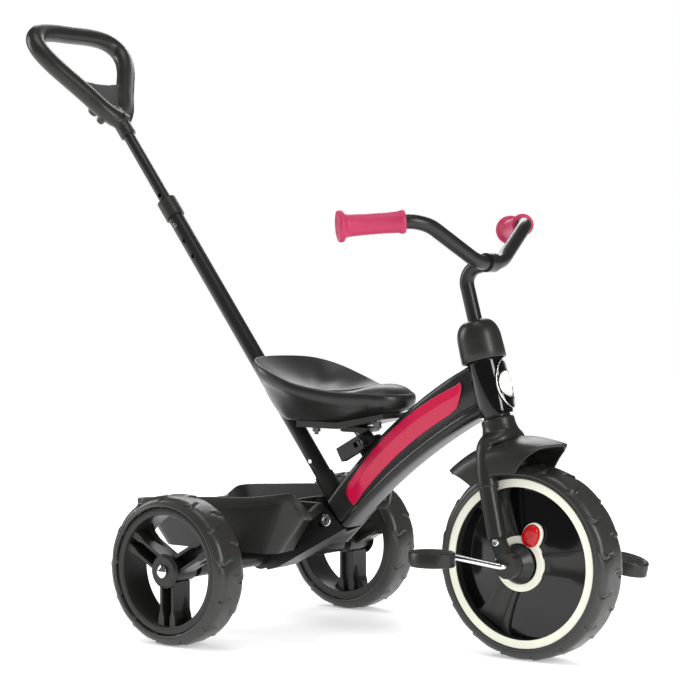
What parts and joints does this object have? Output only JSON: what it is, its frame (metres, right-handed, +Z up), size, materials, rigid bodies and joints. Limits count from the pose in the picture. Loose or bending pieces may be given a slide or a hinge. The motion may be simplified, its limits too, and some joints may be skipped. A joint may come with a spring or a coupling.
{
  "type": "children's tricycle",
  "caption": "Children's tricycle with a curved beam frame, pedal front wheel, rear basket, height-adjustable saddle and a removable telescopic push bar with a loop handle.",
  "frame": {"origin": "on the ground, in the middle of the length and width, below the saddle's back", "axes": "+X forward along the longest size, +Y to the rider's left across the shortest size, +Z up"},
  "size_m": [0.9662, 0.47, 0.8787],
  "materials": {
    "matte_black_paint": "satin",
    "gloss_black_paint": "gloss",
    "black_plastic": "matte",
    "gloss_black_plastic": "gloss",
    "bare_steel": "satin",
    "chrome_plate": "polished",
    "tyre_rubber": "matte",
    "cream_plastic": "satin",
    "red_plastic": "gloss",
    "crimson_panel": "gloss",
    "pink_grip": "satin",
    "seat_foam": "matte"
  },
  "bodies": {
    "frame": {"rear_axle_tube": "matte_black_paint", "rear_axle": "bare_steel", "rear_axle_bushes": "black_plastic", "rear_axle_nuts": "chrome_plate", "head_tube": "gloss_black_paint", "head_badge": "chrome_plate", "badge_disc": "cream_plastic", "headset_bushes": "black_plastic", "main_beam": "matte_black_paint", "inlays": "crimson_panel", "rear_bracket": "black_plastic", "bracket_bolt": "bare_steel", "push_socket": "matte_black_paint", "basket": "black_plastic", "basket_screws": "bare_steel", "seat_post_socket": "matte_black_paint", "seat_clamp": "matte_black_paint", "seat_clamp_bolt": "bare_steel", "lever_pin": "bare_steel"},
    "seat": {"seat_post": "matte_black_paint", "seat_base_pan": "black_plastic", "seat_cushion": "seat_foam", "seat_bolts": "bare_steel"},
    "clamp_lever": {"seat_clamp_lever": "gloss_black_plastic"},
    "push_bar": {"push_lower_tube": "matte_black_paint", "push_collar": "black_plastic", "push_sleeve": "black_plastic", "push_screw": "chrome_plate"},
    "push_bar_upper": {"push_upper_tube": "matte_black_paint", "push_handle": "black_plastic"},
    "height_button": {"height_button": "black_plastic"},
    "steering": {"steerer_tube": "matte_black_paint", "crown_ring": "black_plastic", "headset_cover": "black_plastic", "fork_crown": "black_plastic", "fork_legs": "matte_black_paint", "fork_ends": "black_plastic", "fork_screws": "chrome_plate", "hub_shrouds": "black_plastic", "front_fender": "black_plastic", "handlebar": "matte_black_paint", "stem": "matte_black_paint", "grips": "pink_grip"},
    "front_wheel": {"front_tyre": "tyre_rubber", "front_rim": "black_plastic", "front_hub_bush": "black_plastic", "front_discs": "gloss_black_plastic", "front_spokes": "black_plastic", "wheel_rings": "cream_plastic", "hub_rings": "cream_plastic"},
    "freewheel_selector": {"freewheel_selector": "red_plastic"},
    "crank": {"crank_axle": "chrome_plate"},
    "pedal_right": {"pedal_right": "black_plastic"},
    "pedal_left": {"pedal_left": "black_plastic"},
    "rear_wheel_right": {"rear_tyre_right": "tyre_rubber", "rear_rim_right": "black_plastic", "rear_hub_cap_right": "black_plastic"},
    "rear_wheel_left": {"rear_tyre_left": "tyre_rubber", "rear_rim_left": "black_plastic", "rear_hub_cap_left": "black_plastic"}
  },
  "joints": [
    {"name": "steering_turn", "type": "hinge", "parent": "frame", "child": "steering", "pos_m": [0.35068, 0, 0.127], "axis": [-0.2672, 0, 0.9636], "range_deg": [-40, 40]},
    {"name": "front_wheel_spin", "type": "hinge", "parent": "steering", "child": "front_wheel", "pos_m": [0.35068, 0, 0.127], "axis": [0, 1, 0], "continuous": true},
    {"name": "crank_spin", "type": "hinge", "parent": "steering", "child": "crank", "pos_m": [0.35068, 0, 0.127], "axis": [0, 1, 0], "continuous": true},
    {"name": "pedal_right_spin", "type": "hinge", "parent": "crank", "child": "pedal_right", "pos_m": [0.27641, -0.12, 0.13744], "axis": [0, 1, 0], "continuous": true},
    {"name": "pedal_left_spin", "type": "hinge", "parent": "crank", "child": "pedal_left", "pos_m": [0.42495, 0.12, 0.11656], "axis": [0, 1, 0], "continuous": true},
    {"name": "freewheel_selector_slide", "type": "slide", "parent": "front_wheel", "child": "freewheel_selector", "axis": [0.454, 0, 0.891], "range_m": [0, 0.004]},
    {"name": "rear_wheel_right_spin", "type": "hinge", "parent": "frame", "child": "rear_wheel_right", "pos_m": [-0.08932, -0.2, 0.102], "axis": [0, 1, 0], "continuous": true},
    {"name": "rear_wheel_left_spin", "type": "hinge", "parent": "frame", "child": "rear_wheel_left", "pos_m": [-0.08932, 0.2, 0.102], "axis": [0, 1, 0], "continuous": true},
    {"name": "seat_slide", "type": "slide", "parent": "frame", "child": "seat", "axis": [-0.6428, 0, 0.766], "range_m": [0, 0.03]},
    {"name": "clamp_lever_turn", "type": "hinge", "parent": "frame", "child": "clamp_lever", "pos_m": [0.09668, -0.031, 0.272], "axis": [-0.4848, 0, 0.8746], "range_deg": [0, 90]},
    {"name": "push_bar_lift", "type": "slide", "parent": "frame", "child": "push_bar", "axis": [-0.6018, 0, 0.7986], "range_m": [0, 0.035]},
    {"name": "push_bar_telescope", "type": "slide", "parent": "push_bar", "child": "push_bar_upper", "axis": [-0.6018, 0, 0.7986], "range_m": [-0.056, 0]},
    {"name": "height_button_press", "type": "slide", "parent": "push_bar", "child": "height_button", "axis": [0, 1, 0], "range_m": [0, 0.002], "stiffness_N_per_m": 400, "springref_m": -0.0005}
  ],
  "couplings": [
    {"joint": "crank_spin", "follows": "front_wheel_spin", "ratio": 1}
  ]
}
